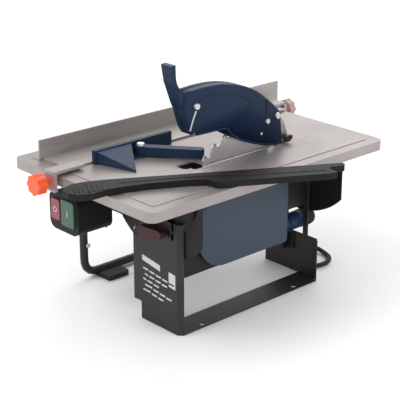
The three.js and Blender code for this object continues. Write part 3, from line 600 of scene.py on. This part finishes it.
def make_label(m):
    """White block, rows of dashes and a small square, in place of the maker's printing."""
    out = face_front(PANEL_FACE)

    def mark(name, outline):
        add(name, outline, out, 0.15, "chassis", m["print"], 0)

    mark("label_block", [(32, -139), (74, -146), (74, -136), (32, -130)])
    left, right, thick, space = 34, 96, 2.6, 3.0
    for row in range(5):
        z = -153 - 9 * row
        u = left + 4.0 * (row % 2)
        while u < right - 14 * (row % 3):
            width = 7.0 + 5 * ((row + int(u)) % 3)
            low = z - (u - left) * 0.12
            bar = [(u, low), (u + width, low - 0.8), (u + width, low - 0.8 + thick), (u, low + thick)]
            mark(f"label_rule_{row}_{int(u)}", bar)
            u += width + space
    mark("label_square", [(94, -164), (109, -166), (109, -142), (94, -140)])


def make_front_details(m):
    pointer = rounded(47.5, 50.5, -91, -74, 1.4)
    add("tilt_pointer", pointer, face_front(PANEL_FACE - 2), 1.0, "chassis", m["pale"], 0.2)
    half = 0.006  # half a tilt mark's width, as an angle
    for k in range(10):
        angle = math.radians(-78 - 5 * k)
        corners = ((112, angle - half), (120, angle - half), (120, angle + half), (112, angle + half))
        mark = [(BLADE_X + r * math.cos(a), r * math.sin(a)) for r, a in corners]
        add(f"tilt_scale_{k}", mark, face_front(-146.5), 0.15, "table", m["print"], 0)
    bolt = at(-143.6, -128, -178)
    screw_head("left_leg_bolt", bolt, (0.8, -0.6, 0), 4.2, 3.0, "chassis", m["steel"])


def make_button_marks(m):
    """A ring on the stop button and a bar on the start button, moulded on their faces."""
    out = face_front(BUTTON_FACE)
    x, z = -104, -78
    inner, outer = 3.4, 4.6
    bm = bmesh.new()
    count = 28
    for i in range(count):
        a, b = (2 * math.pi * k / count for k in (i, i + 1))
        loop = [(x + r * math.cos(t), z + r * math.sin(t))
                for r, t in ((inner, a), (outer, a), (outer, b), (inner, b))]
        slab(bm, loop, out, 0.3)
    bmesh.ops.remove_doubles(bm, verts=bm.verts, dist=1e-6)
    ring = from_bmesh("stop_mark", bm, "stop")
    paint(ring, m["print"])
    bar = rounded(-73.7, -72.3, -84, -73, 0.6)
    add("start_mark", bar, out, 0.3, "start", m["print"], 0.1)


def make_cover_details(m):
    for i, y in enumerate((-78, 92)):
        screw = at(COVER_FACE, y, -58)
        screw_head(f"cover_screw_{i}", screw, (1, 0, 0), 3.6, 2.0, "chassis", m["cover"])


def make_motor_details(m):
    circle = 38.5
    for i in range(4):
        angle = math.radians(45 + 90 * i)
        y = ARBOR[0] + circle * math.cos(angle)
        z = ARBOR[1] + circle * math.sin(angle)
        screw = at(FAN_COVER_END, y, z)
        screw_head(f"fan_cover_screw_{i}", screw, (-1, 0, 0), 3.2, 1.8, "chassis", m["steel"])


def make_stick_details(m):
    """Grip ribs across the push stick's handle and a raised line along its top."""
    start = Vector((36, -229))
    angle = math.radians(59.7)
    along = Vector((math.cos(angle), math.sin(angle)))
    across = Vector((math.sin(angle), -math.cos(angle)))
    top = face_up(STICK_TOP)
    for i in range(7):
        u, v = -48 + 7 * i, 34
        du, dv = 1.2, 16 - abs(i - 3) * 1.6
        corners = ((u - du, v - dv), (u + du, v - dv), (u + du, v + dv), (u - du, v + dv))
        rib = [tuple(start + along * a + across * b) for a, b in corners]
        add(f"stick_grip_rib_{i}", rib, top, 0.9, "pushing_stick", m["stick"], 0.3)
    route = ((20, 20), (90, 16), (150, 16), (210, 26), (330, 28))
    line = strip([tuple(start + along * a + across * b) for a, b in route], 2.2)
    add("stick_moulding_line", line, top, 0.6, "pushing_stick", m["stick"], 0.3)


def make_fence_details(m):
    sleeve = rounded(-67, -41, -20, 2, 2.0)
    add("fence_clamp_sleeve", sleeve, face_front(-262.2), 1.2, "fence", m["pink"], 0.4)


# Floor and light


def make_stage():
    bm = bmesh.new()
    reach = 30.0  # metres from the middle to each edge
    below = -0.5 * MM  # just under the feet
    corners = [(-reach, -reach), (reach, -reach), (reach, reach), (-reach, reach)]
    bm.faces.new([bm.verts.new((x, y, below)) for x, y in corners])
    floor = from_bmesh("floor", bm, None)
    n = Nodes("floor_paper")
    n.link(n.blend(n.noise(3.0), (0.94, 0.94, 0.94), (0.97, 0.97, 0.97)), n.shader.inputs["Base Color"])
    n.shader.inputs["Roughness"].default_value = 0.9
    paint(floor, n.material)


def area_light(name, place, target, size, energy):
    light = bpy.data.lights.new(name, "AREA")
    light.energy = energy
    light.size = size
    lamp = bpy.data.objects.new(name, light)
    scene.collection.objects.link(lamp)
    lamp.location = place
    direction = Vector(target) - Vector(place)
    lamp.rotation_mode = "QUATERNION"
    lamp.rotation_quaternion = direction.to_track_quat("-Z", "Y")


def make_lights():
    world = bpy.data.worlds.new("studio")
    scene.world = world
    world.use_nodes = True
    world.node_tree.nodes["Background"].inputs["Color"].default_value = (1.0, 1.0, 1.0, 1.0)
    world.node_tree.nodes["Background"].inputs["Strength"].default_value = 0.85
    middle = (0.0, 0.0, 0.2)
    area_light("key", (-0.6, -1.6, 2.2), middle, 1.4, 26.0)
    area_light("back", (-1.2, 1.6, 1.8), middle, 1.8, 16.0)
    area_light("right", (2.0, 0.2, 1.0), middle, 1.4, 10.0)
    scene.view_settings.view_transform = "Standard"


make_camera()
materials = make_materials()
make_cord(materials)
dress_nodes(materials)
make_guard(materials)
make_guard_details(materials)
make_blade_tips(materials)
make_label(materials)
make_front_details(materials)
make_button_marks(materials)
make_cover_details(materials)
make_motor_details(materials)
make_stick_details(materials)
make_fence_details(materials)
make_stage()
make_lights()
